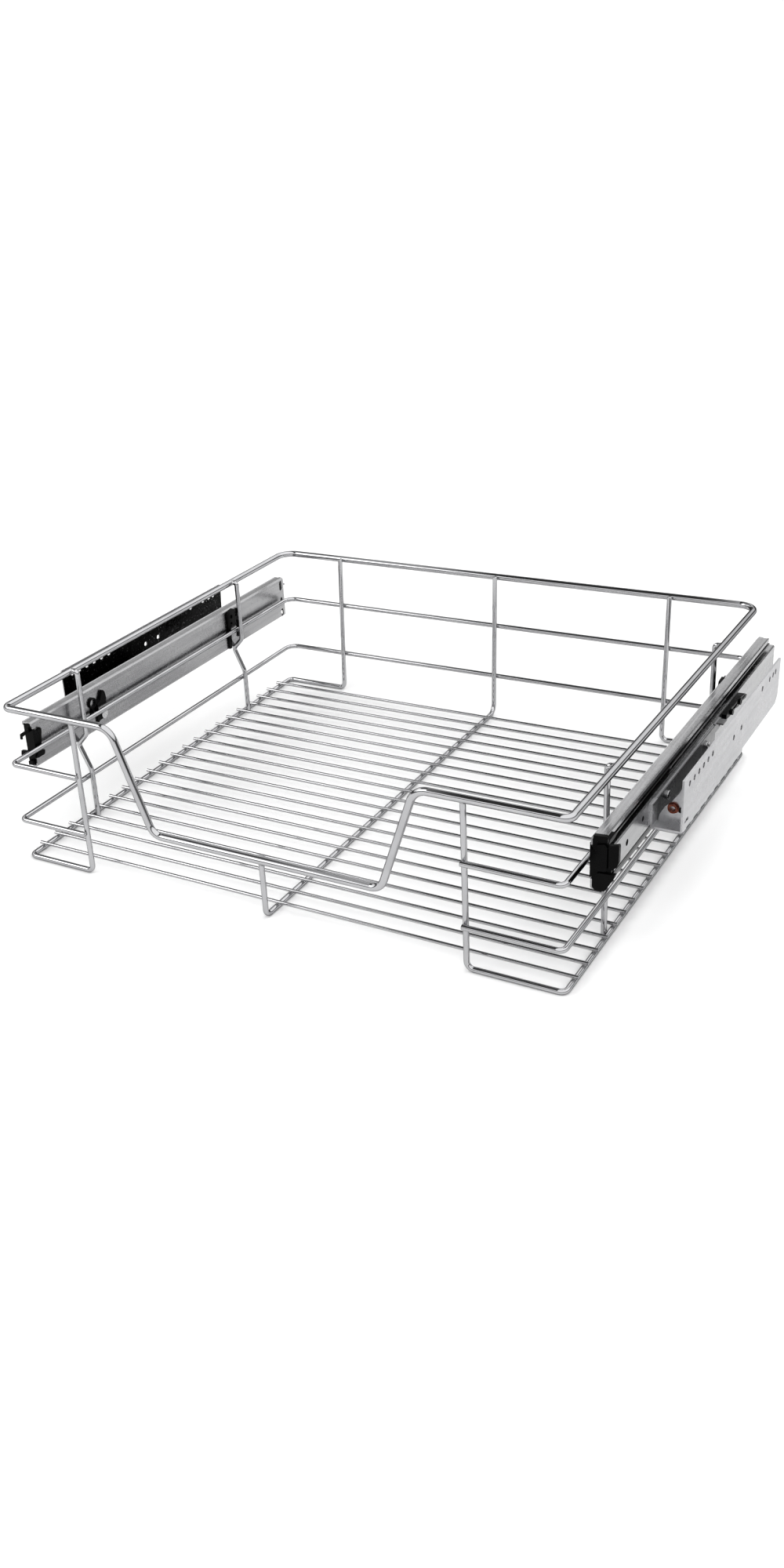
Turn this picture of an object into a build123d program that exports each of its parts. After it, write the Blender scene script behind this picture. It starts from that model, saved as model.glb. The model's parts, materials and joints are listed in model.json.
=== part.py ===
from build123d import *
import math
import os

# Pull-out wire basket for a 600 mm kitchen base cabinet, on two full-extension ball slides.
# Millimetres. X across the cabinet, -Y towards the cabinet front, Z up.
# Origin: middle of the width and depth of the basket, at the underside of its floor wires.

# ---- driving dimensions -------------------------------------------------------
OVERALL_W = 564.0        # outside of one cabinet bracket to the outside of the other
RIM_D = 6.0              # top rim wire
FRAME_D = 4.4            # rings, uprights, hangers and lengthwise floor wires
CROSS_D = 2.8            # floor wires across the basket
SINK = 0.12              # how far a resistance weld sinks one wire into the next

RIM_X, RIM_YF, RIM_YB, RIM_Z = 242.9, -216.1, 215.8, 137.8
RIM_RF, RIM_RB = 6.0, 15.0
RING_X = 240.6
RING2_Z, RING3_Z = 89.5, 38.4
RING_RF, RING_RB = 5.0, 11.0
FLOOR_Z = FRAME_D / 2
FLOOR_YF, FLOOR_YB = -215.9, 203.9
FRAME_OFFSET = -4.0      # the uprights sit slightly left of the rim's middle
UPRIGHT_X = 170.0
UPRIGHT_R = 5.5
DIP_MID, DIP_TOP, DIP_BOTTOM, DIP_Z = -3.0, 132.5, 101.8, 50.6
DIP_RT, DIP_RB = 15.0, 12.0

CROSS_N, CROSS_Y0, CROSS_PITCH = 21, -199.4, 19.07
CROSS_OVER = 3.2         # how far a cross wire runs past the side wire

HANGER_Y = (-131.0, 115.0)
HANGER_TUCK = 246.6      # outward kink under the slide

# slide section, outwards from the basket
SLIDE_X = 245.7          # inner face of the basket channel
SLIDE_ZC, SLIDE_H = 91.2, 41.0
SLIDE_T = 12.7
CH_T, CH_DEPTH = 1.2, 10.0
CH_YF, CH_YB = -186.0, 212.0
MID_H, MID_T = 31.0, 1.2
MID_YF, MID_YB = -175.0, 213.0
CAB_H, CAB_T = 21.0, 1.3
CAB_YF, CAB_YB = -175.0, 222.4
BALL_D = 2.7

BR_T = 1.5               # cabinet bracket sheet
BR_YF, BR_YB = -102.0, 149.0
BR_Z0, BR_Z1 = 79.0, 120.8
BR_HOLE_D = 4.5
BR_HOLES_FRONT = [12.7 + 10.7 * k for k in range(6)]
BR_HOLES_BACK = [197.5, 218.8, 229.0, 236.5]
BR_HOLE_Z = 113.5
BR_HOLES_MID, BR_MID_Z = [121.0, 141.0], 103.0
BR_YM = 46.0             # back end of the bracket's trough
BR_LEG_Z = 98.0          # top of its inner leg
TAB_Y = -92.0            # front face of its tab
EYE_X, EYE_Z, EYE_D = 271.9, 93.4, 7.4

OUT = "parts"
os.makedirs(OUT, exist_ok=True)


def save(shape, name):
    export_step(shape, os.path.join(OUT, name + ".step"))


def unit(a, b):
    v = Vector(*b) - Vector(*a)
    return v.normalized()


def bent_path(points, radii):
    """Straight runs joined by arcs: radii has one entry for each inner point."""
    edges = []
    here = Vector(*points[0])
    for i in range(1, len(points) - 1):
        p = Vector(*points[i])
        d0, d1 = unit(points[i - 1], points[i]), unit(points[i], points[i + 1])
        half = d0.get_angle(d1) * math.pi / 360.0
        r = radii[i - 1]
        t = r * math.tan(half)
        a, b = p - d0 * t, p + d1 * t
        inward = (d1 - d0).normalized()
        centre = p + inward * (r / math.cos(half))
        mid = centre - inward * r
        edges.append(Edge.make_line(here, a))
        edges.append(Edge.make_three_point_arc(a, mid, b))
        here = b
    edges.append(Edge.make_line(here, Vector(*points[-1])))
    return edges


def wire_solid(points, radii, dia):
    """A bent round wire with flat cut ends."""
    edges = bent_path(points, radii)
    path = Wire(edges)
    start = Plane(origin=points[0], z_dir=unit(points[0], points[1]))
    return sweep(start * Circle(dia / 2), path=path)


def box(x0, x1, y0, y1, z0, z1):
    return Pos((x0 + x1) / 2, (y0 + y1) / 2, (z0 + z1) / 2) * Box(
        x1 - x0, y1 - y0, z1 - z0
    )


def rod_x(x0, x1, y, z, d):
    return Pos((x0 + x1) / 2, y, z) * Rot(0, 90, 0) * Cylinder(d / 2, abs(x1 - x0))


def section_xz(points, y0, y1):
    """A closed outline given in X and Z, run from y0 to y1."""
    face = Plane.XZ * make_face(Polyline(*[(p[0], p[1]) for p in points], close=True))
    return Pos(0, y0, 0) * extrude(face, -(y1 - y0))


def mirrored(shape):
    return mirror(shape, about=Plane.YZ)


# ---- basket wires --------------------------------------------------------------
# Top rim: one closed loop, with the low front opening.
x0, x1, yf, yb, z = -RIM_X, RIM_X, RIM_YF, RIM_YB, RIM_Z
rim_points = [
    (30.0, yb, z),
    (x0, yb, z),
    (x0, yf, z),
    (DIP_MID - DIP_TOP, yf, z),
    (DIP_MID - DIP_BOTTOM, yf, DIP_Z),
    (DIP_MID + DIP_BOTTOM, yf, DIP_Z),
    (DIP_MID + DIP_TOP, yf, z),
    (x1, yf, z),
    (x1, yb, z),
    (30.0, yb, z),
]
rim_radii = [RIM_RB, RIM_RF, DIP_RT, DIP_RB, DIP_RB, DIP_RT, RIM_RF, RIM_RB]
rim_edges = bent_path(rim_points, rim_radii)
rim_start = Plane(origin=rim_points[0], z_dir=unit(rim_points[0], rim_points[1]))
top_rim = sweep(rim_start * Circle(RIM_D / 2), path=Wire(rim_edges))
save(top_rim, "top_rim")

# Uprights lean in slightly at the back, from inside the rim down to the floor wire.
UP_TOP_Y = RIM_YB - RIM_D / 2 - FRAME_D / 2 + SINK
UP_TOP_Z = RIM_Z + 1.2


def back_y(height):
    share = (height - FLOOR_Z) / (UP_TOP_Z - FLOOR_Z)
    return FLOOR_YB + share * (UP_TOP_Y - FLOOR_YB)


RING_FRONT_Y = FLOOR_YF - FRAME_D + SINK
STUB = 0.8


def side_ring(height):
    """A ring round three sides whose ends turn in to the front uprights."""
    yb_ring = back_y(height) + FRAME_D - SINK
    left = FRAME_OFFSET - UPRIGHT_X + STUB
    right = FRAME_OFFSET + UPRIGHT_X - STUB
    points = [
        (left, RING_FRONT_Y, height),
        (-RING_X, RING_FRONT_Y, height),
        (-RING_X, yb_ring, height),
        (RING_X, yb_ring, height),
        (RING_X, RING_FRONT_Y, height),
        (right, RING_FRONT_Y, height),
    ]
    return wire_solid(points, [RING_RF, RING_RB, RING_RB, RING_RF], FRAME_D)


save(side_ring(RING2_Z), "upper_side_ring")
save(side_ring(RING3_Z), "lower_side_ring")


def frame_wire(side):
    """Front upright, out along the front, back along the side, in, and up to the rim."""
    xu = FRAME_OFFSET + side * UPRIGHT_X
    xs = side * RING_X
    points = [
        (xu, FLOOR_YF, RIM_Z - RIM_D / 2 + SINK),
        (xu, FLOOR_YF, FLOOR_Z),
        (xs, FLOOR_YF, FLOOR_Z),
        (xs, FLOOR_YB, FLOOR_Z),
        (xu, FLOOR_YB, FLOOR_Z),
        (xu, UP_TOP_Y, UP_TOP_Z),
    ]
    return wire_solid(
        points, [UPRIGHT_R, RING_RF, RING_RF, UPRIGHT_R], FRAME_D
    )


save(frame_wire(-1), "left_frame_wire")
save(frame_wire(1), "right_frame_wire")

centre_points = [
    (FRAME_OFFSET, FLOOR_YF, DIP_Z - RIM_D / 2 + SINK),
    (FRAME_OFFSET, FLOOR_YF, FLOOR_Z),
    (FRAME_OFFSET, FLOOR_YB, FLOOR_Z),
    (FRAME_OFFSET, UP_TOP_Y, UP_TOP_Z),
]
save(wire_solid(centre_points, [UPRIGHT_R, UPRIGHT_R + 4], FRAME_D), "centre_frame_wire")

# Floor: the cross wires lie on the three lengthwise wires.
cross_z = FRAME_D + CROSS_D / 2 - SINK
cross = []
for i in range(CROSS_N):
    half = RING_X + CROSS_OVER
    cross.append(
        rod_x(-half, half, CROSS_Y0 + i * CROSS_PITCH, cross_z, CROSS_D).solid()
    )
save(Compound(children=cross), "floor_cross_wires")

# Hangers: welded inside the rim, the rings and the floor wire, kinked under the slide.
HANG_X = RING_X - FRAME_D + SINK
TUCK_Z = SLIDE_ZC - SLIDE_H / 2 - FRAME_D / 2 + SINK


def hanger(side, y):
    points = [
        (side * (RIM_X - RIM_D / 2 + SINK), y, RIM_Z),
        (side * HANG_X, y, RIM_Z),
        (side * HANG_X, y, TUCK_Z + 11.0),
        (side * HANGER_TUCK, y, TUCK_Z),
        (side * HANG_X, y, TUCK_Z - 23.0),
        (side * HANG_X, y, 0.9),
    ]
    return wire_solid(points, [2.6, 5.0, 4.0, 12.0], FRAME_D)


for side, word in ((-1, "left"), (1, "right")):
    for y, place in zip(HANGER_Y, ("front", "back")):
        save(hanger(side, y), "hanger_wire_" + place + "_" + word)


# ---- slides ---------------------------------------------------------------------
# All slide parts are drawn for the right side and mirrored for the left.
S0 = SLIDE_X
top = SLIDE_ZC + SLIDE_H / 2


def channel_section():
    """Rolled C with a ball race in each flange, web towards the basket."""
    t = CH_T
    h = SLIDE_H / 2
    outer = [
        (0.0, h - 1.4),
        (1.4, h),
        (4.6, h),
        (5.4, h - 0.5),
        (8.6, h - 0.5),
        (9.4, h),
        (CH_DEPTH, h - 0.6),
        (CH_DEPTH, h - 3.6),
    ]
    inner = [
        (CH_DEPTH - t, h - 3.6),
        (CH_DEPTH - t, h - t - 0.6),
        (8.4, h - t - 0.5),
        (5.6, h - t - 0.5),
        (4.4, h - t),
        (1.9, h - t),
        (t, h - t - 0.7),
    ]
    upper = outer + inner
    lower = [(x, -zz) for x, zz in upper]
    return upper + lower[::-1]


def place_section(points, ya, yb_):
    return section_xz([(S0 + x, SLIDE_ZC + zz) for x, zz in points], ya, yb_)


channel = place_section(channel_section(), CH_YF, CH_YB)
# Fixing holes at the back end of the web and the rivet holes of the latches.
for dz, slot in ((13.4, 6.0), (-1.2, 0.0), (-15.6, 4.0)):
    y = CH_YB - 5.6
    hole = rod_x(S0 - 2, S0 + 2, y, SLIDE_ZC + dz, 4.2)
    if slot:
        hole += rod_x(S0 - 2, S0 + 2, y, SLIDE_ZC + dz - slot / 2, 4.2)
        hole += rod_x(S0 - 2, S0 + 2, y, SLIDE_ZC + dz + slot / 2, 4.2)
        hole += box(S0 - 2, S0 + 2, y - 2.1, y + 2.1, SLIDE_ZC + dz - slot / 2, SLIDE_ZC + dz + slot / 2)
    channel -= hole
LATCH_RIVETS = [(-95.0, 83.2), (125.0, 83.2)]
for y, zz in LATCH_RIVETS:
    channel -= rod_x(S0 - 2, S0 + 2, y, zz, 3.2)
# Notch in the web's front end for the plastic cap's tongue.
channel -= box(S0 - 1, S0 + CH_T + 0.2, CH_YF - 1, CH_YF + 3.0, SLIDE_ZC - 12.5, SLIDE_ZC + 14.0)


def mid_section():
    """Middle member: a C inside the channel, open outwards."""
    t, h = MID_T, MID_H / 2
    s0, s1 = 2.4, 10.6
    upper = [
        (s0, h - 1.0),
        (s0 + 1.0, h),
        (s1, h),
        (s1, h - t),
        (s0 + t + 0.6, h - t),
        (s0 + t, h - t - 0.6),
    ]
    lower = [(x, -zz) for x, zz in upper]
    return upper + lower[::-1]


def cab_section():
    """Cabinet member: the small C whose web faces the cabinet."""
    t, h = CAB_T, CAB_H / 2
    s0, s1 = 4.9, SLIDE_T
    upper = [
        (s1, h - 1.0),
        (s1 - 1.0, h),
        (s0, h),
        (s0, h - t),
        (s1 - t - 0.6, h - t),
        (s1 - t, h - t - 0.6),
    ]
    lower = [(x, -zz) for x, zz in upper]
    return upper + lower[::-1]


middle = place_section(mid_section(), MID_YF, MID_YB)
cabinet = place_section(cab_section(), CAB_YF, CAB_YB)
BRACKET_RIVETS = [-70.0, 22.0]
for y in BRACKET_RIVETS:
    cabinet -= rod_x(S0 + 8, S0 + 16, y, SLIDE_ZC, 4.0)
cabinet -= rod_x(S0 + 8, S0 + 16, -118.0, SLIDE_ZC + 3.0, 4.2)
cabinet -= rod_x(S0 + 8, S0 + 16, -150.0, SLIDE_ZC, 5.0)


def cage(web0, s_out, gap_mid, half_web, ya, yb_, n):
    """Ball cage: thin bent strip, with a row of balls above and below."""
    t = 0.5
    h = gap_mid
    outline_upper = [
        (web0, h + t / 2),
        (s_out, h + t / 2),
        (s_out, h - t / 2),
        (web0 + t, h - t / 2),
    ]
    lower = [(x, -zz) for x, zz in outline_upper]
    body = place_section(outline_upper + lower[::-1], ya, yb_)
    balls = []
    step = (yb_ - ya - 16.0) / (n - 1)
    bx = S0 + (web0 + t + s_out) / 2 + 0.6
    for i in range(n):
        y = ya + 8.0 + i * step
        for sign in (-1, 1):
            c = (bx, y, SLIDE_ZC + sign * h)
            body -= Pos(*c) * Cylinder(BALL_D / 2, 3.0)
            balls.append((Pos(*c) * Sphere(BALL_D / 2)).solid())
    return body, Compound(children=balls)


# Between channel and middle member, and between middle and cabinet member.
gap1 = (SLIDE_H / 2 - CH_T - 0.5 + MID_H / 2) / 2
gap2 = (MID_H / 2 - MID_T + CAB_H / 2) / 2
outer_cage, outer_balls = cage(1.55, 8.0, gap1, 0, -62.0, 98.0, 7)
inner_cage, inner_balls = cage(3.95, 9.6, gap2, 0, -52.0, 88.0, 6)


def cap_slab(points, ya, yb_):
    return section_xz([(S0 + x, z) for x, z in points], ya, yb_)


def cap_side(points, x0, x1):
    """Outline in Y (from the channel's front end) and Z, run from x0 to x1."""
    face = Plane.YZ * make_face(Polyline(*[(CH_YF + y, z) for y, z in points], close=True))
    return Pos(S0 + x0, 0, 0) * extrude(face, x1 - x0)


def cap_tongue(front, thick):
    """Tongue on the basket side of the web, notched on top, with the plug that holds it."""
    piece = cap_side(
        [(front, 106.4), (front + 1.4, 106.0), (1.9, 102.4), (3.8, 102.6), (7.8, 104.6),
         (9.0, 103.4), (9.2, 101.6), (6.4, 88.8), (5.0, 86.4), (front, 86.4)],
        -thick, 0.0,
    )
    piece += cap_side([(0.2, 79.4), (8.4, 79.4), (9.6, 81.0), (9.6, 83.4), (0.2, 84.6)], 0.1 - thick, 0.0)
    piece += cap_side([(0.2, 80.4), (2.8, 80.4), (2.8, 101.0), (0.2, 101.0)], 0.2 - thick, 3.2)
    piece += box(S0 + CH_T + 0.15, S0 + 8.6, CH_YF - 0.1, CH_YF + 8.0, SLIDE_ZC - SLIDE_H / 2 + 2.1, SLIDE_ZC + SLIDE_H / 2 - 2.1)
    return piece


def front_cap_right():
    """Black end piece: lip, two lobes with a rib between them, slanted foot, wedge, tongue."""
    yf = CH_YF - 3.2
    cap = cap_slab(
        [(2.8, 114.2), (11.6, 115.0), (13.1, 113.6), (11.9, 111.4), (6.2, 110.3), (5.3, 108.7),
         (2.9, 106.9)],
        yf, CH_YF,
    )
    cap += cap_slab([(6.0, 106.0), (12.6, 106.0), (12.6, 112.0), (6.0, 111.5)], yf + 1.3, CH_YF)
    cap += cap_slab(
        [(5.7, 107.5), (4.2, 104.5), (4.1, 89.8), (6.1, 87.6), (11.6, 88.0), (12.7, 90.2),
         (12.7, 106.6), (11.0, 108.8)],
        yf, CH_YF,
    )
    cap += cap_slab(
        [(13.9, 108.6), (17.2, 109.0), (20.7, 110.2), (21.1, 108.6), (20.9, 96.4), (19.3, 93.0),
         (15.8, 89.9), (13.9, 90.6)],
        yf, CH_YF,
    )
    cap += cap_slab([(11.8, 90.4), (15.0, 90.4), (15.0, 108.0), (11.8, 108.0)], yf + 1.5, CH_YF)
    cap += cap_slab([(6.6, 85.6), (15.2, 86.0), (15.8, 91.0), (6.6, 89.0)], yf + 1.4, CH_YF)
    cap += cap_slab(
        [(7.9, 86.5), (18.6, 87.0), (18.2, 84.8), (12.9, 75.2), (11.3, 73.0), (4.6, 72.6),
         (2.8, 74.4), (2.8, 80.0), (5.6, 85.6)],
        yf - 0.5, CH_YF,
    )
    cap += cap_side(
        [(-1.0, 107.8), (1.0, 110.2), (12.5, 111.0), (16.0, 109.0), (11.0, 107.5), (5.0, 107.3)],
        10.35, 12.95,
    )
    cap += cap_tongue(0.4, 0.7)
    return cap


def front_cap_left():
    """Black end piece without the lobes: narrow body, cross bar, finger, low nib, tongue."""
    cap = cap_slab(
        [(-1.9, 106.4), (0.6, 105.4), (3.0, 102.4), (5.0, 102.6), (5.4, 88.0), (5.4, 85.0), (-1.9, 86.4)],
        CH_YF - 1.6, CH_YF,
    )
    cap += cap_slab([(-1.4, 86.0), (13.8, 84.6), (14.6, 80.6), (12.0, 79.4), (-0.4, 80.8)], CH_YF - 2.4, CH_YF)
    cap += cap_slab([(2.4, 77.2), (6.8, 76.4), (6.8, 73.6), (1.6, 73.4)], CH_YF - 3.2, CH_YF + 0.5)
    cap += cap_slab([(2.6, 76.0), (4.4, 76.0), (4.4, 82.0), (2.6, 82.0)], CH_YF, CH_YF + 1.6)
    cap += cap_slab([(2.6, 73.6), (5.6, 73.6), (5.6, 77.0), (2.6, 77.0)], CH_YF, CH_YF + 1.6)
    cap += cap_side([(-13.0, 106.2), (-0.5, 107.4), (-0.5, 104.6), (-11.6, 103.6), (-11.8, 101.4), (-13.4, 101.8)], 0.2, 1.8)
    cap += cap_side([(-1.6, 100.0), (0.3, 100.0), (0.3, 107.0), (-1.6, 107.0)], 0.2, 3.0)
    cap += cap_tongue(-1.6, 1.9)
    return cap


cap_r = front_cap_right()
cap_l = front_cap_left()


def latch(y_rivet, z_rivet, back):
    """Black catch riveted to the web beside the hanger wire."""
    t = 2.2

    def plate_of(points, thick):
        pts = [(y_rivet + p, z_rivet + q) for p, q in points]
        return Pos(S0 - thick, 0, 0) * extrude(Plane.YZ * make_face(Polyline(*pts, close=True)), thick)

    if back:
        plate = plate_of([(-20.5, 10.0), (-7.2, 11.0), (-7.2, 26.0), (-11.0, 28.0), (-19.0, 27.0), (-20.5, 24.0)], t)
        plate += plate_of([(-20.5, -11.5), (-16.6, -11.5), (-15.6, 4.0), (-15.6, 11.0), (-20.5, 11.0)], 1.8)
        plate += plate_of([(-8.0, 14.0), (-0.6, 14.0), (-0.6, 18.0), (-8.0, 18.0)], 1.6)
        plate += plate_of([(-1.4, 8.6), (2.6, 8.6), (2.6, 23.0), (0.8, 24.4), (-1.4, 24.4)], t + 0.6)
        plate += plate_of([(-3.6, -4.2), (4.2, -4.2), (4.2, 9.0), (-1.6, 9.0)], 1.2)
        plate -= rod_x(S0 - 4, S0 + 1, y_rivet - 14.0, z_rivet + 20.5, 4.2)
        plate -= rod_x(S0 - 4, S0 + 1, y_rivet - 14.5, z_rivet + 13.6, 3.0)
    else:
        plate = plate_of(
            [(-0.2, 22.1), (1.6, 22.0), (3.2, 19.6), (4.2, 14.2), (3.1, 9.6), (-2.0, 9.2),
             (-7.6, 10.0), (-9.0, 12.2), (-4.2, 14.6), (-2.4, 18.0)], t + 0.4)
        loop = rod_x(S0 - 1.8, S0, y_rivet - 13.2, z_rivet + 15.2, 9.6)
        loop -= rod_x(S0 - 4, S0 + 1, y_rivet - 13.2, z_rivet + 15.2, 7.2)
        plate += loop
        plate += plate_of([(-9.4, -4.6), (-7.4, -4.6), (-6.8, 10.0), (-8.8, 10.0)], 1.8)
        plate += plate_of([(-14.4, 4.2), (-8.0, 4.8), (-8.0, 6.6), (-14.8, 6.0)], 1.8)
        plate += plate_of([(-15.6, 4.2), (-13.8, 4.2), (-13.8, 10.8), (-15.6, 10.8)], 1.8)
        plate += plate_of([(-9.4, -4.6), (3.0, -3.4), (3.0, 2.6), (-7.6, 0.4)], 1.2)
    plate -= rod_x(S0 - 6, S0 + 1, y_rivet, z_rivet, 3.2)
    return plate


def latch_rivet(y, zz, head_d):
    shank = rod_x(S0 - 1.2, S0 + CH_T, y, zz, 3.2)
    head = rod_x(S0 - 2.4, S0 - 1.2, y, zz, head_d)
    return (shank + head).solid()


latch_front = latch(*LATCH_RIVETS[0], False)
latch_back = latch(*LATCH_RIVETS[1], True)
latch_rivets = Compound(
    children=[latch_rivet(y, zz, d) for (y, zz), d in zip(LATCH_RIVETS, (8.4, 5.6))]
)

# ---- cabinet brackets -------------------------------------------------------------
XO = OVERALL_W / 2
XI = S0 + SLIDE_T


def bracket():
    """Folded sheet: inner leg on the slide, floor, longer outer leg on the cabinet wall, front tab."""
    t = BR_T
    ri = 1.0
    trough = [
        (XI, BR_LEG_Z),
        (XI, BR_Z0 + ri),
        (XI + ri, BR_Z0),
        (XO - ri, BR_Z0),
        (XO, BR_Z0 + ri),
        (XO, BR_Z1),
        (XO - t, BR_Z1),
        (XO - t, BR_Z0 + t),
        (XI + t, BR_Z0 + t),
        (XI + t, BR_LEG_Z),
    ]
    b = section_xz(trough, BR_YF, BR_YM)
    # behind the trough only the outer leg goes on, with a raised and cut-off lower edge
    tail = Plane.YZ * make_face(
        Polyline(
            (BR_YM - 0.1, BR_Z0 + 3.2), (BR_YB - 9, BR_Z0 + 3.8), (BR_YB - 2.5, BR_Z0 + 9.0),
            (BR_YB, BR_Z1 - 1.4), (BR_YB - 1.2, BR_Z1), (BR_YM - 0.1, BR_Z1), close=True,
        )
    )
    b += Pos(XO - t, 0, 0) * extrude(tail, t)
    # tab folded in from the outer leg, a little behind the front edge, with a slanted top
    tab = Plane.XZ * make_face(
        Polyline(
            (XI + 2.4, BR_Z0 + t - 0.2),
            (XO - t + 0.2, BR_Z0 + t - 0.2),
            (XO - t + 0.2, BR_Z1 - 4.0),
            (XO - 6.0, 106.0),
            (XO - 11.4, 98.0),
            (XO - 16.0, 93.4),
            (XO - 20.0, 86.4),
            close=True,
        )
    )
    b += Pos(0, TAB_Y, 0) * extrude(tab, -t)
    # mounting holes in the outer leg
    for d in BR_HOLES_FRONT + BR_HOLES_BACK:
        b -= rod_x(XO - 4, XO + 2, BR_YF + d, BR_HOLE_Z, BR_HOLE_D)
    for d in BR_HOLES_MID:
        b -= rod_x(XO - 4, XO + 2, BR_YF + d, BR_MID_Z, BR_HOLE_D)
    # short slot low on the outer leg at the front
    b -= box(XO - 4, XO + 2, BR_YF + 5.0, BR_YF + 13.0, BR_Z0 + 6.0, BR_Z0 + 8.4)
    # rivet holes in the inner leg
    for y in BRACKET_RIVETS:
        b -= rod_x(XI - 1, XI + 3, y, SLIDE_ZC, 4.0)
    return b


bracket_r = bracket()
bracket_rivets = Compound(
    children=[
        (
            rod_x(S0 + SLIDE_T - CAB_T - 1.0, XI - CAB_T, y, SLIDE_ZC, 7.0)
            + rod_x(XI - CAB_T, XI + BR_T, y, SLIDE_ZC, 4.0)
            + rod_x(XI + BR_T, XI + BR_T + 1.4, y, SLIDE_ZC, 7.0)
        ).solid()
        for y in BRACKET_RIVETS
    ]
)


def rod_y(y0, y1, x, zz, d):
    return Pos(x, (y0 + y1) / 2, zz) * Rot(90, 0, 0) * Cylinder(d / 2, abs(y1 - y0))


# Eyelet on the front tab and the black lever that runs from it to the outer leg.
bush = rod_y(TAB_Y - 2.4, TAB_Y, EYE_X, EYE_Z, EYE_D)
bush += rod_y(TAB_Y - 0.8, TAB_Y, EYE_X, EYE_Z, EYE_D + 1.2)
bush -= rod_y(TAB_Y - 4, TAB_Y + 1, EYE_X, EYE_Z, 4.2)
lever = Plane.XZ * make_face(
    Polyline(
        (EYE_X + 4.5, EYE_Z + 0.6), (XO - BR_T - 0.1, EYE_Z - 1.2), (XO - BR_T - 0.1, EYE_Z - 3.2),
        (EYE_X + 4.2, EYE_Z - 2.0), close=True,
    )
)
pin = Pos(0, TAB_Y - 2.0, 0) * extrude(lever, -2.0)


def stop_block():
    """Black stop on the outer face of the cabinet member, behind the bracket's trough."""
    outline = [
        (68.0, 98.4), (74.0, 99.8), (84.0, 99.6), (88.0, 98.6), (98.0, 99.6), (110.0, 98.2),
        (120.0, 96.6), (126.0, 93.6), (123.0, 91.8), (112.0, 93.2), (100.0, 92.6), (92.0, 94.4),
        (80.0, 93.4), (68.0, 94.4),
    ]
    body = Pos(XI, 0, 0) * extrude(Plane.YZ * make_face(Polyline(*outline, close=True)), 3.8)
    body += rod_x(XI, XI + 5.6, 80.0, 96.4, 5.0)
    body += rod_x(XI, XI + 5.2, 104.0, 96.0, 5.6)
    body -= rod_x(XI + 2.6, XI + 8.0, 104.0, 96.0, 2.8)
    body -= box(XI + 2.0, XI + 6.0, 86.0, 96.5, 95.2, 97.4)
    body -= box(XI + 2.2, XI + 6.0, 111.0, 120.0, 94.6, 96.0)
    return body


def stop_plate():
    """Small bent plate that the stop bears against."""
    p = box(XI, XI + 1.2, 47.0, 62.0, 91.0, 98.4)
    p += box(XI, XI + 6.5, 50.0, 60.0, 97.4, 98.4)
    p -= rod_x(XI - 1, XI + 2, 57.5, 94.0, 3.0)
    return p


stop = stop_block()
plate = stop_plate()

parts_right = {
    "basket_channel": channel,
    "middle_member": middle,
    "cabinet_member": cabinet,
    "outer_ball_cage": outer_cage,
    "outer_balls": outer_balls,
    "inner_ball_cage": inner_cage,
    "inner_balls": inner_balls,
    "front_cap": cap_r,
    "latch_front": latch_front,
    "latch_back": latch_back,
    "latch_rivets": latch_rivets,
    "cabinet_bracket": bracket_r,
    "bracket_rivets": bracket_rivets,
    "bracket_pin": pin,
    "bracket_bush": bush,
    "bracket_stop": stop,
    "stop_plate": plate,
}
for name, shape in parts_right.items():
    save(shape, name + "_right")
    left_shape = cap_l if name == "front_cap" else shape
    solids = [mirrored(s) for s in left_shape.solids()]
    save(solids[0] if len(solids) == 1 else Compound(children=solids), name + "_left")
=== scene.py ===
import json
import math
import random

import bpy
from mathutils import Matrix, Vector


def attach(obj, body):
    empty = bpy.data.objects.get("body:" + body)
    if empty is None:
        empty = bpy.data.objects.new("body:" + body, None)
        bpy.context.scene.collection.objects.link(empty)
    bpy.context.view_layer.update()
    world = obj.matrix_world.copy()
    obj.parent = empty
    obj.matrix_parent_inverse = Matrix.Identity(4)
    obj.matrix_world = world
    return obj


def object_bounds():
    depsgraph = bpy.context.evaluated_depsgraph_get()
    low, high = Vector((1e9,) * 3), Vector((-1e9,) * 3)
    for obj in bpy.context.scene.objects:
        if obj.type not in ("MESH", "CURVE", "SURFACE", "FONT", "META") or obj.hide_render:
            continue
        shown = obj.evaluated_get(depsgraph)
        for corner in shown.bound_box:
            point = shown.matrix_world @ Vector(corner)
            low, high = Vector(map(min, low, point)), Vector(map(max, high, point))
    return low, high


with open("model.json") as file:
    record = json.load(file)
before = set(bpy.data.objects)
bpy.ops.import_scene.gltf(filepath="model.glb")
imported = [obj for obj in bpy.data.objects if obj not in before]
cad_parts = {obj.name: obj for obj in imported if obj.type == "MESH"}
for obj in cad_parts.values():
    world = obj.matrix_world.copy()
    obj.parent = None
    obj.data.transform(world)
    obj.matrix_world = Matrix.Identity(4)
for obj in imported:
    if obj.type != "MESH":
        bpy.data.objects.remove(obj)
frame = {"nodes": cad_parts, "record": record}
cad_lo, cad_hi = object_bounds()
NODES = frame["nodes"]
scene = bpy.context.scene
MM = 0.001


# ---- node helpers -------------------------------------------------------------------
def new_material(name):
    m = bpy.data.materials.new(name)
    m.use_nodes = True
    nt = m.node_tree
    for n in list(nt.nodes):
        nt.nodes.remove(n)
    out = nt.nodes.new("ShaderNodeOutputMaterial")
    bsdf = nt.nodes.new("ShaderNodeBsdfPrincipled")
    nt.links.new(bsdf.outputs["BSDF"], out.inputs["Surface"])
    return m, nt, bsdf


def coords(nt, scale):
    tc = nt.nodes.new("ShaderNodeTexCoord")
    mp = nt.nodes.new("ShaderNodeMapping")
    mp.inputs["Scale"].default_value = scale
    nt.links.new(tc.outputs["Object"], mp.inputs["Vector"])
    return mp.outputs["Vector"]


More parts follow.
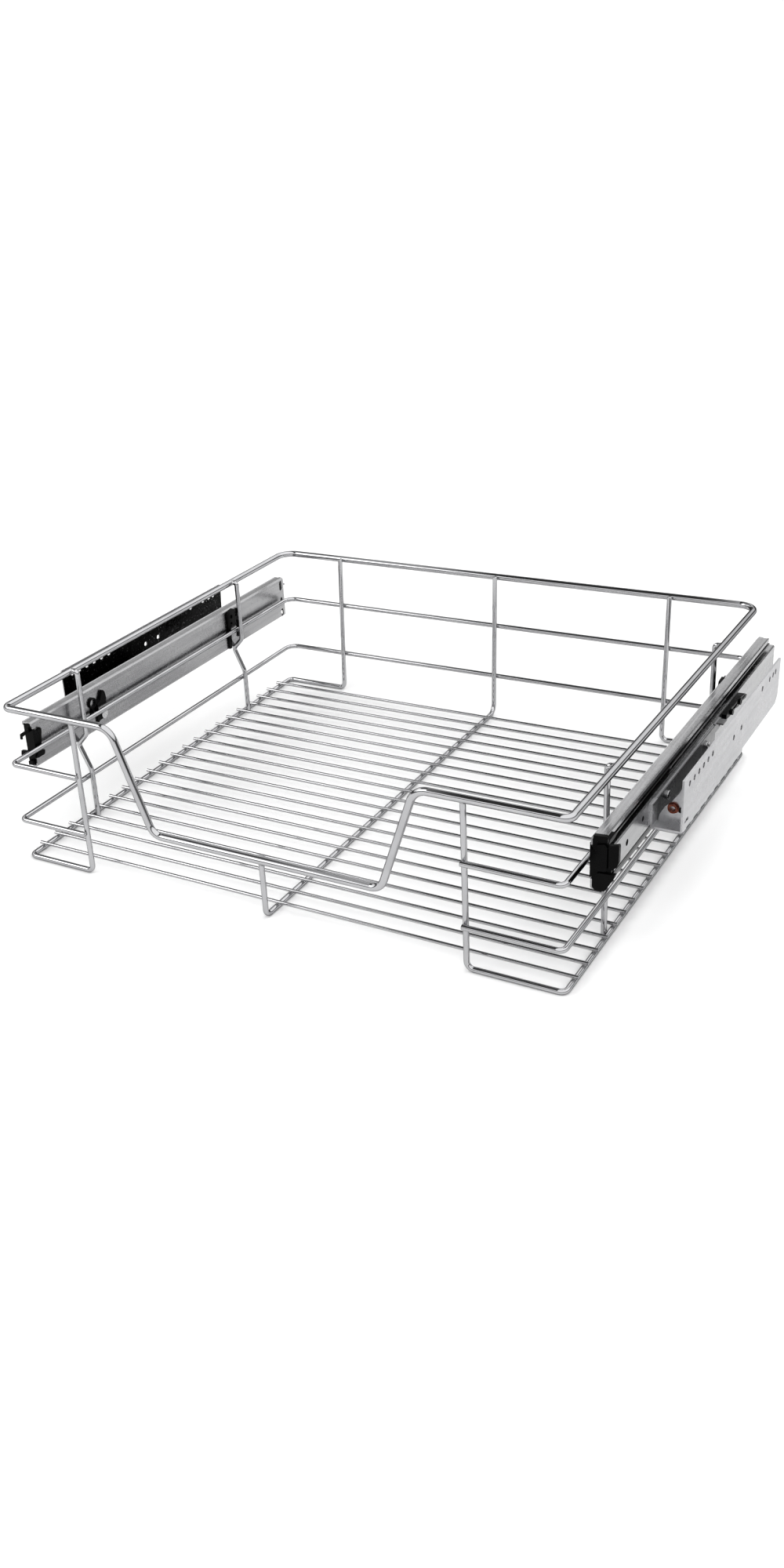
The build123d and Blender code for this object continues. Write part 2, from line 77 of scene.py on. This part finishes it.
def noise(nt, vector, scale, detail=3.0, rough=0.55):
    n = nt.nodes.new("ShaderNodeTexNoise")
    n.inputs["Scale"].default_value = scale
    n.inputs["Detail"].default_value = detail
    n.inputs["Roughness"].default_value = rough
    nt.links.new(vector, n.inputs["Vector"])
    return n.outputs["Fac"]


def spread(nt, fac, low, high, from_low=0.3, from_high=0.7):
    r = nt.nodes.new("ShaderNodeMapRange")
    r.inputs["From Min"].default_value = from_low
    r.inputs["From Max"].default_value = from_high
    r.inputs["To Min"].default_value = low
    r.inputs["To Max"].default_value = high
    nt.links.new(fac, r.inputs["Value"])
    return r.outputs["Result"]


def ramp(nt, fac, stops):
    r = nt.nodes.new("ShaderNodeValToRGB")
    e = r.color_ramp.elements
    while len(e) < len(stops):
        e.new(0.5)
    for el, (pos, col) in zip(e, stops):
        el.position = pos
        el.color = (*col, 1.0)
    nt.links.new(fac, r.inputs["Fac"])
    return r.outputs["Color"]


def bump(nt, height, strength, distance, before=None):
    b = nt.nodes.new("ShaderNodeBump")
    b.inputs["Strength"].default_value = strength
    b.inputs["Distance"].default_value = distance
    nt.links.new(height, b.inputs["Height"])
    if before is not None:
        nt.links.new(before, b.inputs["Normal"])
    return b.outputs["Normal"]


def math_node(nt, kind, a, b):
    m = nt.nodes.new("ShaderNodeMath")
    m.operation = kind
    for i, v in enumerate((a, b)):
        if isinstance(v, (int, float)):
            m.inputs[i].default_value = v
        else:
            nt.links.new(v, m.inputs[i])
    return m.outputs["Value"]


def multiply(nt, a, b):
    return math_node(nt, "MULTIPLY", a, b)


# ---- materials ----------------------------------------------------------------------
def chrome(name, low, high, rough, edge):
    """Bright chrome plate over drawn wire: faint waviness, thin haze, tiny dull spots."""
    m, nt, p = new_material(name)
    v = coords(nt, (1, 1, 1))
    wide = noise(nt, v, 34.0, 2.0)
    fine = noise(nt, v, 900.0, 2.0)
    nt.links.new(ramp(nt, wide, [(0.30, low), (0.72, high)]), p.inputs["Base Color"])
    nt.links.new(spread(nt, fine, rough * 0.7, rough * 1.5), p.inputs["Roughness"])
    normal = bump(nt, wide, 0.06, 0.0006)
    nt.links.new(bump(nt, fine, 0.03, 0.00004, normal), p.inputs["Normal"])
    p.inputs["Metallic"].default_value = 1.0
    p.inputs["Specular Tint"].default_value = (edge, edge, edge, 1.0)
    return m


def rolled_zinc(name, low, high, rough, along=(1.0, 0.012, 1.0), grain=520.0):
    """Bright zinc on rolled strip: long roll lines, soft blotches, small scuffs."""
    m, nt, p = new_material(name)
    lines = noise(nt, coords(nt, along), grain, 4.0, 0.6)
    v = coords(nt, (1, 1, 1))
    blotch = noise(nt, v, 26.0, 4.0, 0.6)
    scuff = noise(nt, v, 260.0, 5.0, 0.7)
    both = multiply(nt, spread(nt, lines, 0.80, 1.0), spread(nt, blotch, 0.86, 1.0))
    nt.links.new(ramp(nt, both, [(0.66, low), (1.0, high)]), p.inputs["Base Color"])
    r = multiply(nt, spread(nt, blotch, rough * 0.8, rough * 1.3), spread(nt, scuff, 0.85, 1.25))
    nt.links.new(r, p.inputs["Roughness"])
    normal = bump(nt, lines, 0.16, 0.00008)
    nt.links.new(bump(nt, scuff, 0.06, 0.00006, normal), p.inputs["Normal"])
    p.inputs["Metallic"].default_value = 1.0
    return m


def moulded_black(name, base, rough):
    m, nt, p = new_material(name)
    v = coords(nt, (1, 1, 1))
    wide = noise(nt, v, 60.0, 3.0)
    grain = noise(nt, v, 2600.0, 2.0)
    nt.links.new(
        ramp(nt, wide, [(0.3, tuple(c * 0.75 for c in base)), (0.7, tuple(c * 1.35 for c in base))]),
        p.inputs["Base Color"],
    )
    nt.links.new(spread(nt, wide, rough * 0.85, rough * 1.15), p.inputs["Roughness"])
    nt.links.new(bump(nt, grain, 0.25, 0.00004), p.inputs["Normal"])
    p.inputs["IOR"].default_value = 1.45
    p.inputs["Specular IOR Level"].default_value = 0.06
    return m


def turned_metal(name, low, high, rough):
    m, nt, p = new_material(name)
    v = coords(nt, (1, 1, 1))
    wide = noise(nt, v, 420.0, 3.0)
    nt.links.new(ramp(nt, wide, [(0.3, low), (0.7, high)]), p.inputs["Base Color"])
    nt.links.new(spread(nt, wide, rough * 0.8, rough * 1.3), p.inputs["Roughness"])
    nt.links.new(bump(nt, wide, 0.12, 0.00005), p.inputs["Normal"])
    p.inputs["Metallic"].default_value = 1.0
    return m


WIRE = chrome("chrome_wire", (0.40, 0.40, 0.41), (0.48, 0.48, 0.49), 0.05, 0.22)
WELD = turned_metal("weld_bead", (0.26, 0.26, 0.265), (0.42, 0.42, 0.425), 0.22)
SLIDE = rolled_zinc("zinc_slide", (0.25, 0.25, 0.255), (0.39, 0.39, 0.395), 0.22)
# near-black zinc on the middle members: painted shade of the gaps between the slide members
MIDDLE_PAINTED_SHADE = rolled_zinc("slide_painted_shade", (0.03, 0.03, 0.031), (0.085, 0.085, 0.087), 0.30)


def channel_with_painted_shade():
    """The slide's zinc, with painted shade along the lip of the lower ball race: a near-black strip with a hatched
    pattern in it.
    """
    m = rolled_zinc("zinc_channel_painted_shade", (0.25, 0.25, 0.255), (0.39, 0.39, 0.395), 0.22)
    nt = m.node_tree
    p = next(n for n in nt.nodes if n.type == "BSDF_PRINCIPLED")
    bright = p.inputs["Base Color"].links[0].from_socket
    tc = nt.nodes.new("ShaderNodeTexCoord")
    xyz = nt.nodes.new("ShaderNodeSeparateXYZ")
    nt.links.new(tc.outputs["Object"], xyz.inputs["Vector"])
    out_x = math_node(nt, "ABSOLUTE", xyz.outputs["X"], 0.0)
    # mask of the painted shade: the outer face of the lower lip
    low = multiply(nt, spread(nt, out_x, 0.0, 1.0, 0.2540, 0.2546), spread(nt, xyz.outputs["Z"], 1.0, 0.0, 0.0752, 0.0758))
    slant = math_node(nt, "ADD", xyz.outputs["Y"], multiply(nt, xyz.outputs["Z"], 0.8))
    teeth = math_node(nt, "SINE", multiply(nt, slant, 2 * math.pi / 0.0024), 0.0)
    grain = noise(nt, tc.outputs["Object"], 700.0, 3.0)
    # the painted shade itself: near black, hatched
    shade_hatch = ramp(
        nt,
        math_node(nt, "ADD", spread(nt, teeth, 0.1, 0.9, -1.0, 1.0), multiply(nt, grain, 0.2)),
        [(0.35, (0.004, 0.004, 0.004)), (0.85, (0.075, 0.075, 0.077))],
    )
    mix = nt.nodes.new("ShaderNodeMix")
    mix.data_type = "RGBA"
    nt.links.new(low, mix.inputs["Factor"])
    colour = [i for i in mix.inputs if i.type == "RGBA"]
    nt.links.new(bright, colour[0])
    nt.links.new(shade_hatch, colour[1])
    nt.links.new([o for o in mix.outputs if o.type == "RGBA"][0], p.inputs["Base Color"])
    return m


CHANNEL_PAINTED_SHADE = channel_with_painted_shade()


def bracket_sheet_painted_shade():
    """Bright sheet outside; inside the trough a painted shade, near black with bare specks, weaker on the right."""
    m = rolled_zinc("zinc_bracket", (0.36, 0.36, 0.37), (0.50, 0.50, 0.51), 0.28, (1.0, 0.05, 1.0), 300.0)
    nt = m.node_tree
    p = next(n for n in nt.nodes if n.type == "BSDF_PRINCIPLED")
    bright = p.inputs["Base Color"].links[0].from_socket
    tc = nt.nodes.new("ShaderNodeTexCoord")
    xyz = nt.nodes.new("ShaderNodeSeparateXYZ")
    nt.links.new(tc.outputs["Object"], xyz.inputs["Vector"])
    out_x = math_node(nt, "ABSOLUTE", xyz.outputs["X"], 0.0)
    # the painted shade reaches the left bracket's front edge, the right one's only behind the tab
    front = math_node(nt, "ADD", xyz.outputs["Y"], spread(nt, xyz.outputs["X"], 0.0120, 0.0, -0.01, 0.01))
    inside = multiply(
        nt,
        multiply(nt, spread(nt, out_x, 0.0, 1.0, 0.2586, 0.2592), spread(nt, out_x, 1.0, 0.0, 0.2807, 0.2813)),
        multiply(nt, spread(nt, front, 0.0, 1.0, -0.0916, -0.0908), spread(nt, xyz.outputs["Z"], 1.0, 0.0, 0.1194, 0.1202)),
    )
    specks = spread(nt, noise(nt, tc.outputs["Object"], 420.0, 4.0, 0.7), 1.0, 0.0, 0.60, 0.70)
    mix = nt.nodes.new("ShaderNodeMix")
    mix.data_type = "RGBA"
    # painted shade: the right bracket's trough gets 0.62 of the left one's black
    shade_weight = spread(nt, xyz.outputs["X"], 1.0, 0.62, -0.01, 0.01)
    nt.links.new(multiply(nt, multiply(nt, inside, specks), shade_weight), mix.inputs["Factor"])
    colour = [i for i in mix.inputs if i.type == "RGBA"]
    nt.links.new(bright, colour[0])
    # near-black colour of the painted shade in the trough
    nt.links.new(
        ramp(nt, noise(nt, tc.outputs["Object"], 90.0), [(0.3, (0.004, 0.004, 0.004)), (0.7, (0.016, 0.016, 0.016))]),
        colour[1],
    )
    shade = [o for o in mix.outputs if o.type == "RGBA"][0]
    nt.links.new(shade, p.inputs["Base Color"])
    return m


BRACKET_PAINTED_SHADE = bracket_sheet_painted_shade()
RIVET = turned_metal("zinc_rivet", (0.50, 0.50, 0.505), (0.62, 0.62, 0.625), 0.20)
CAGE = rolled_zinc("cage_steel", (0.40, 0.40, 0.41), (0.52, 0.52, 0.53), 0.3)
BALL = chrome("ball_steel", (0.55, 0.55, 0.56), (0.65, 0.65, 0.66), 0.08, 0.6)
PLASTIC = moulded_black("black_plastic", (0.0012, 0.0012, 0.0013), 0.30)
BUSH = turned_metal("brass_bush", (0.075, 0.021, 0.014), (0.20, 0.068, 0.046), 0.32)
PIN = moulded_black("pin_black", (0.006, 0.0055, 0.0055), 0.35)

BY_SLOT = {
    "chrome_wire": WIRE,
    "zinc_slide": SLIDE,
    "zinc_bracket": BRACKET_PAINTED_SHADE,
    "ball_steel": BALL,
    "cage_steel": CAGE,
    "brass_bush": BUSH,
    "pin_black": PIN,
    "black_plastic": PLASTIC,
}
SLOT_OF = {s["node"]: s["material_slot"] for s in frame["record"]["subparts"]}


def wear(obj, material):
    obj.data.materials.clear()
    obj.data.materials.append(material)


def soften(obj, width, angle=38.0, segments=2):
    """Small round on the sharp edges of a sheet or moulded piece."""
    b = obj.modifiers.new("edge_round", "BEVEL")
    b.width = width
    b.segments = segments
    b.limit_method = "ANGLE"
    b.angle_limit = math.radians(angle)
    b.use_clamp_overlap = True
    b.harden_normals = False


for name, obj in NODES.items():
    if name.startswith("middle_member"):
        wear(obj, MIDDLE_PAINTED_SHADE)
    elif name.startswith("basket_channel"):
        wear(obj, CHANNEL_PAINTED_SHADE)
    else:
        wear(obj, BY_SLOT[SLOT_OF[name]])


# ---- mesh pieces --------------------------------------------------------------------
def add_piece(name, verts, faces, material, ride_on, smooth=True):
    """One mesh object from lists in millimetres, riding on a CAD body."""
    mesh = bpy.data.meshes.new(name)
    mesh.from_pydata([Vector(v) * MM for v in verts], [], faces)
    mesh.update()
    if smooth:
        for poly in mesh.polygons:
            poly.use_smooth = True
    o = bpy.data.objects.new(name, mesh)
    o.data.materials.append(material)
    scene.collection.objects.link(o)
    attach(o, ride_on)
    return o


class Lump:
    """Collects closed shells into one mesh."""

    def __init__(self):
        self.verts = []
        self.faces = []

    def shell(self, rows, flip=False):
        """Rows of points from one pole to the other; the first and last rows are single points."""
        base = len(self.verts)
        n = len(rows[1])
        self.verts.append(rows[0][0])
        for row in rows[1:-1]:
            self.verts.extend(row)
        self.verts.append(rows[-1][0])
        last = len(self.verts) - 1
        new = []
        for k in range(n):
            new.append((base, base + 1 + k, base + 1 + (k + 1) % n))
        for r in range(len(rows) - 3):
            a = base + 1 + r * n
            b = a + n
            for k in range(n):
                k2 = (k + 1) % n
                new.append((a + k, b + k, b + k2, a + k2))
        a = base + 1 + (len(rows) - 3) * n
        for k in range(n):
            new.append((a + k, last, a + (k + 1) % n))
        if flip:
            new = [tuple(reversed(f)) for f in new]
        self.faces.extend(new)

    def ring(self, rows, flip=False):
        """Rows of points that close on themselves both ways."""
        base = len(self.verts)
        n = len(rows[0])
        for row in rows:
            self.verts.extend(row)
        new = []
        for r in range(len(rows)):
            a = base + r * n
            b = base + ((r + 1) % len(rows)) * n
            for k in range(n):
                k2 = (k + 1) % n
                new.append((a + k, b + k, b + k2, a + k2))
        if flip:
            new = [tuple(reversed(f)) for f in new]
        self.faces.extend(new)


def basis(normal, along):
    nrm = Vector(normal).normalized()
    a = Vector(along)
    a = (a - nrm * a.dot(nrm)).normalized()
    return a, nrm.cross(a), nrm


def lathe(lump, centre, axis, profile, n=20, hint=(0.31, 0.47, 0.83)):
    """Profile of (radius, height) pairs turned about an axis; ends close on the axis."""
    a, b, nrm = basis(axis, hint)
    c = Vector(centre)
    rows = [[c + nrm * profile[0][1]]]
    for r, h in profile[1:-1]:
        rows.append(
            [
                c + nrm * h + a * (r * math.cos(t)) + b * (r * math.sin(t))
                for t in (2 * math.pi * k / n for k in range(n))
            ]
        )
    rows.append([c + nrm * profile[-1][1]])
    lump.shell(rows, flip=profile[-1][1] > profile[0][1])


def lathe_ring(lump, centre, axis, profile, n=24, hint=(0.31, 0.47, 0.83)):
    a, b, nrm = basis(axis, hint)
    c = Vector(centre)
    rows = []
    for r, h in profile:
        rows.append(
            [
                c + nrm * h + a * (r * math.cos(t)) + b * (r * math.sin(t))
                for t in (2 * math.pi * k / n for k in range(n))
            ]
        )
    lump.ring(rows, flip=True)


def weld(lump, rng, centre, up, along_up, r_up, r_low, reach):
    """Squeezed-out fillet where two crossed wires meet.

    up points from the lower wire to the upper one, along_up is the upper wire's direction."""
    a, b, nrm = basis(up, along_up)
    c = Vector(centre)
    n = 20
    phase = rng.uniform(0, 6.28)
    rows = [[c + nrm * 0.5], [], [], [], [], [], [c - nrm * 0.5]]
    for k in range(n):
        t = 2 * math.pi * k / n
        wob = 1 + 0.05 * math.sin(3 * t + phase) + rng.uniform(-0.03, 0.03)
        rho = reach * wob * (1 + 0.16 * (1 - abs(math.cos(2 * t))))
        for i, extra in enumerate((0.55, 0.16, 0.0, 0.16, 0.55)):
            s = rho + extra
            x, y = s * math.cos(t), s * math.sin(t)
            # the upper wire runs along a, the lower one along b
            d_up, d_low = min(abs(y), r_up * 0.94), min(abs(x), r_low * 0.94)
            h_up = r_up - math.sqrt(r_up**2 - d_up**2) + 0.16
            h_low = r_low - math.sqrt(r_low**2 - d_low**2) + 0.16
            share = (1.0, 0.62, 0.5, 0.38, 0.0)[i]
            h = h_up * share - h_low * (1 - share)
            rows[i + 1].append(c + a * x + b * y + nrm * h)
    lump.shell(rows)


def butt_weld(lump, rng, centre, out, r_wire, r_other, other_axis):
    """Collar where a wire's end butts the side of another; out points away from the other wire."""
    nrm = Vector(out).normalized()
    b = Vector(other_axis).normalized()
    a = b.cross(nrm).normalized()
    c = Vector(centre)
    n = 20
    phase = rng.uniform(0, 6.28)
    rows = [[c + nrm * 0.4], [], [], [], [], [c - nrm * 1.4]]
    for k in range(n):
        t = 2 * math.pi * k / n
        wob = 1 + 0.04 * math.sin(2 * t + phase) + rng.uniform(-0.02, 0.02)
        for i, (rad, rise) in enumerate(((r_wire - 0.05, 1.15), (r_wire + 0.14, 0.55), (r_wire + 0.42, 0.18), (r_wire + 0.85, 0.0))):
            s = rad * wob if i else rad
            # the collar stays within the round of the wire that it sits on
            x, y = max(-0.93 * r_other, min(0.93 * r_other, s * math.cos(t))), s * math.sin(t)
            drop = r_other - math.sqrt(max(r_other**2 - min(abs(x), r_other * 0.95) ** 2, 0.0))
            rows[i + 1].append(c + a * x + b * y + nrm * (rise - drop - (0.12 if i == 3 else 0.0)))
    lump.shell(rows)


def tip(lump, centre, out, r, height):
    """Rounded, slightly sheared end of a cut wire."""
    prof = [(0.0, -0.6), (r - 0.06, -0.6), (r - 0.015, 0.0), (r * 0.93, height * 0.42),
            (r * 0.72, height * 0.78), (r * 0.38, height * 0.97), (0.0, height)]
    lathe(lump, centre, out, prof, 16)


rng = random.Random(7)
RIM_X, RIM_YF, RIM_YB, RIM_Z, RIM_R = 242.9, -216.1, 215.8, 137.8, 3.0
RING_X, R, RC, SINK = 240.6, 2.2, 1.4, 0.12
XU = (-174.0, 166.0)
FLOOR_YF, FLOOR_YB, FLOOR_Z = -215.9, 203.9, 2.2
UP_TOP_Y, UP_TOP_Z = RIM_YB - RIM_R - R + SINK, RIM_Z + 1.2
HANG_X = RING_X - 2 * R + SINK
HANGER_Y = (-131.0, 115.0)
RINGS = (89.5, 38.4)


def back_y(z):
    return FLOOR_YB + (z - FLOOR_Z) / (UP_TOP_Z - FLOOR_Z) * (UP_TOP_Y - FLOOR_YB)


# welds of the frame: uprights, rings, hangers, rim
joints = Lump()
for xu in XU:
    butt_weld(joints, rng, (xu, RIM_YF + 0.2, RIM_Z - RIM_R), (0, 0, -1), R, RIM_R, (1, 0, 0))
    weld(joints, rng, (xu, RIM_YB - RIM_R + SINK / 2, RIM_Z), (0, 1, 0), (1, 0, 0), RIM_R, R, 1.25)
    for z in RINGS:
        weld(joints, rng, (xu, FLOOR_YF - R + SINK / 2, z), (0, -1, 0), (1, 0, 0), R, R, 1.15)
butt_weld(joints, rng, (-4.0, RIM_YF + 0.2, 50.6 - RIM_R), (0, 0, -1), R, RIM_R, (1, 0, 0))
weld(joints, rng, (-4.0, RIM_YB - RIM_R + SINK / 2, RIM_Z), (0, 1, 0), (1, 0, 0), RIM_R, R, 1.25)
for xu in (*XU, -4.0):
    for z in RINGS:
        weld(joints, rng, (xu, back_y(z) + R - SINK / 2, z), (0, 1, 0), (1, 0, 0), R, R, 1.15)
for side in (-1, 1):
    for y in HANGER_Y:
        butt_weld(joints, rng, (side * (RIM_X - RIM_R), y, RIM_Z), (-side, 0, 0), R, RIM_R, (0, 1, 0))
        for z in (*RINGS, FLOOR_Z):
            weld(joints, rng, (side * (RING_X - R + SINK / 2), y, z), (side, 0, 0), (0, 1, 0), R, R, 1.15)
add_piece("frame_welds", joints.verts, joints.faces, WELD, "basket")

# welds of the floor: each cross wire on the three lengthwise wires
mat = Lump()
for i in range(21):
    y = -199.4 + i * 19.07
    for x in (-RING_X, -4.0, RING_X):
        weld(mat, rng, (x, y, 2 * R - SINK / 2), (0, 0, 1), (1, 0, 0), RC, R, 1.0)
add_piece("floor_welds", mat.verts, mat.faces, WELD, "basket")

# cut ends of the wires
ends = Lump()
for i in range(21):
    y = -199.4 + i * 19.07
    for side in (-1, 1):
        tip(ends, (side * (RING_X + 3.2), y, 2 * R + RC - SINK), (side, 0, 0), RC, 0.45)
for x, out in ((-4.0 - 170.0 + 0.8, 1), (-4.0 + 170.0 - 0.8, -1)):
    for z in RINGS:
        tip(ends, (x, FLOOR_YF - 2 * R + SINK, z), (out, 0, 0), R, 0.5)
lean = Vector((0, UP_TOP_Y - FLOOR_YB, UP_TOP_Z - FLOOR_Z)).normalized()
for xu in (*XU, -4.0):
    tip(ends, (xu, UP_TOP_Y, UP_TOP_Z), lean, R, 0.6)
for side in (-1, 1):
    for y in HANGER_Y:
        tip(ends, (side * HANG_X, y, 0.9), (0, 0, -1), R, 0.5)
add_piece("wire_tips", ends.verts, ends.faces, WIRE, "basket")

# ---- slides -------------------------------------------------------------------------
S0, ZC = 245.7, 91.2
XI, XO = S0 + 12.7, 282.0
BR_YF = -102.0
for side, word in ((-1, "left"), (1, "right")):
    # domed heads of the catch rivets, with the drift mark in the middle
    heads = Lump()
    for (y, z), d in zip(((-95.0, 83.2), (125.0, 83.2)), (8.4, 5.6)):
        r = d / 2
        prof = [(0.0, -0.3), (r - 0.2, -0.3), (r - 0.02, 0.05), (r * 0.9, 0.42), (r * 0.66, 0.72),
                (r * 0.42, 0.82), (r * 0.34, 0.66), (r * 0.16, 0.5), (0.0, 0.48)]
        lathe(heads, (side * (S0 - 2.4), y, z), (-side, 0, 0), prof, 28)
    add_piece("catch_rivet_heads_" + word, heads.verts, heads.faces, RIVET, "basket")
    # heads of the bracket rivets
    heads = Lump()
    for y in (-70.0, 22.0):
        prof = [(0.0, -0.3), (3.3, -0.3), (3.48, 0.05), (3.1, 0.4), (2.3, 0.66), (1.5, 0.72), (1.1, 0.5), (0.0, 0.42)]
        lathe(heads, (side * (XI + 1.5 + 1.4), y, ZC), (side, 0, 0), prof, 24)
    add_piece("bracket_rivet_heads_" + word, heads.verts, heads.faces, RIVET, "cabinet_side")
    # turned-in rims of the bracket's screw holes, on the side away from the cabinet wall
    rims = Lump()
    spots = [(BR_YF + 12.7 + 10.7 * k, 113.5) for k in range(6)]
    spots += [(BR_YF + d, 113.5) for d in (197.5, 218.8, 229.0, 236.5)]
    spots += [(BR_YF + d, 103.0) for d in (121.0, 141.0)]
    for y, z in spots:
        prof = [(2.28, 0.1), (2.3, -0.22), (2.46, -0.36), (2.72, -0.34), (2.95, -0.16), (3.05, 0.1)]
        lathe_ring(rims, (side * (XO - 1.5), y, z), (side, 0, 0), prof, 24)
    add_piece("bracket_hole_rims_" + word, rims.verts, rims.faces, BRACKET_PAINTED_SHADE, "cabinet_side")

for name, obj in NODES.items():
    if name.startswith(("front_cap", "latch_front", "latch_back", "bracket_stop")):
        soften(obj, 0.00022)
    elif name.startswith(("cabinet_bracket", "stop_plate")):
        soften(obj, 0.00018)
    elif name.startswith("bracket_bush"):
        soften(obj, 0.00025)

# ---- floor, light, camera -----------------------------------------------------------
floor_mesh = bpy.data.meshes.new("floor")
floor_mesh.from_pydata(
    [(-9, -9, 0), (9, -9, 0), (9, 9, 0), (-9, 9, 0)], [], [(0, 1, 2, 3)]
)
floor = bpy.data.objects.new("floor", floor_mesh)
floor.location = (0, 0, cad_lo.z - 0.0002)
scene.collection.objects.link(floor)
fm, fnt, fp = new_material("pale_floor")
fv = coords(fnt, (1, 1, 1))
fnt.links.new(
    ramp(fnt, noise(fnt, fv, 3.0), [(0.3, (0.93, 0.93, 0.93)), (0.7, (0.95, 0.95, 0.95))]),
    fp.inputs["Base Color"],
)
fp.inputs["Roughness"].default_value = 0.9
fp.inputs["Specular IOR Level"].default_value = 0.1
wear(floor, fm)

# a round pale wall behind everything; it hides the sky from view and takes no part in the lighting
wall_mesh = bpy.data.meshes.new("backdrop")
turn = [2 * math.pi * k / 96 for k in range(96)]
wall_mesh.from_pydata(
    [(8.8 * math.cos(t), 8.8 * math.sin(t), z) for z in (-0.01, 14.0) for t in turn],
    [],
    [(k, 96 + k, 96 + (k + 1) % 96, (k + 1) % 96) for k in range(96)],
)
wall = bpy.data.objects.new("backdrop", wall_mesh)
scene.collection.objects.link(wall)
wear(wall, fm)
wall.visible_glossy = False
wall.visible_diffuse = False
wall.visible_shadow = False
wall.visible_transmission = False

world = bpy.data.worlds.new("studio")
scene.world = world
world.use_nodes = True
wnt = world.node_tree
for n in list(wnt.nodes):
    wnt.nodes.remove(n)
wout = wnt.nodes.new("ShaderNodeOutputWorld")
bg = wnt.nodes.new("ShaderNodeBackground")
wtc = wnt.nodes.new("ShaderNodeTexCoord")
sep = wnt.nodes.new("ShaderNodeSeparateXYZ")
wnt.links.new(wtc.outputs["Generated"], sep.inputs["Vector"])


def grey(v):
    return (v, v, v)


half = spread(wnt, sep.outputs["Z"], 0.0, 1.0, -1.0, 1.0)
sky = ramp(
    wnt,
    half,
    [
        (0.0, grey(0.68)),
        (0.53, grey(0.70)),
        (0.555, grey(0.04)),
        (0.635, grey(0.06)),
        (0.68, grey(0.80)),
        (0.78, grey(1.0)),
        (1.0, grey(1.0)),
    ],
)
# a narrow dark flag overhead, a little left of the camera's line
across = ramp(
    wnt,
    spread(wnt, sep.outputs["X"], 0.0, 1.0, -1.0, 1.0),
    [(0.0, grey(0)), (0.24, grey(0)), (0.30, grey(1)), (0.37, grey(1)), (0.40, grey(0)), (1.0, grey(0))],
)
above = ramp(
    wnt,
    half,
    [(0.0, grey(0)), (0.77, grey(0)), (0.81, grey(1)), (1.0, grey(1))],
)
flag = multiply(wnt, across, above)
# a second flag further left, only behind the object
across_left = ramp(
    wnt,
    spread(wnt, sep.outputs["X"], 0.0, 1.0, -1.0, 1.0),
    [(0.0, grey(0)), (0.12, grey(0)), (0.15, grey(1)), (0.25, grey(1)), (0.28, grey(0)), (1.0, grey(0))],
)
above_left = ramp(
    wnt,
    half,
    [(0.0, grey(0)), (0.70, grey(0)), (0.74, grey(1)), (1.0, grey(1))],
)
behind = spread(wnt, sep.outputs["Y"], 0.0, 1.0, -0.12, -0.02)
flag_left = multiply(wnt, multiply(wnt, across_left, above_left), behind)
keep = multiply(
    wnt,
    math_node(wnt, "SUBTRACT", 1.0, multiply(wnt, flag, 0.97)),
    math_node(wnt, "SUBTRACT", 1.0, multiply(wnt, flag_left, 0.92)),
)
light = multiply(wnt, sky, keep)
wnt.links.new(light, bg.inputs["Color"])
bg.inputs["Strength"].default_value = 1.70
wnt.links.new(bg.outputs["Background"], wout.inputs["Surface"])


def area(name, place, aim, size, power):
    data = bpy.data.lights.new(name, "AREA")
    data.shape = "RECTANGLE"
    data.size, data.size_y = size
    data.energy = power
    o = bpy.data.objects.new(name, data)
    o.location = place
    o.rotation_mode = "QUATERNION"
    o.rotation_quaternion = (Vector(aim) - Vector(place)).to_track_quat("-Z", "Y")
    scene.collection.objects.link(o)
    return o


area("front_soft", (-1.9, -1.75, 1.8), (0, 0, 0.05), (1.3, 1.3), 15.0)

cam_data = bpy.data.cameras.new("camera")
cam = bpy.data.objects.new("camera", cam_data)
scene.collection.objects.link(cam)
scene.camera = cam
az, el, roll = 0.5712, 0.45713, -0.07578
back = Vector((math.sin(az) * math.cos(el), -math.cos(az) * math.cos(el), math.sin(el)))
xa = Vector((0, 0, 1)).cross(back).normalized()
ya = back.cross(xa)
xr = xa * math.cos(roll) + ya * math.sin(roll)
yr = ya * math.cos(roll) - xa * math.sin(roll)
m = Matrix((xr, yr, back)).transposed().to_4x4()
m.translation = Vector((0.5513, -0.9987, 0.5833))
cam.matrix_world = m
cam_data.lens = 33.3
cam_data.sensor_width = 36.0
cam_data.sensor_fit = "AUTO"
cam_data.shift_x = 0.05
cam_data.clip_start, cam_data.clip_end = 0.01, 60.0

scene.view_settings.view_transform = "Standard"
scene.view_settings.look = "None"

bpy.context.view_layer.update()
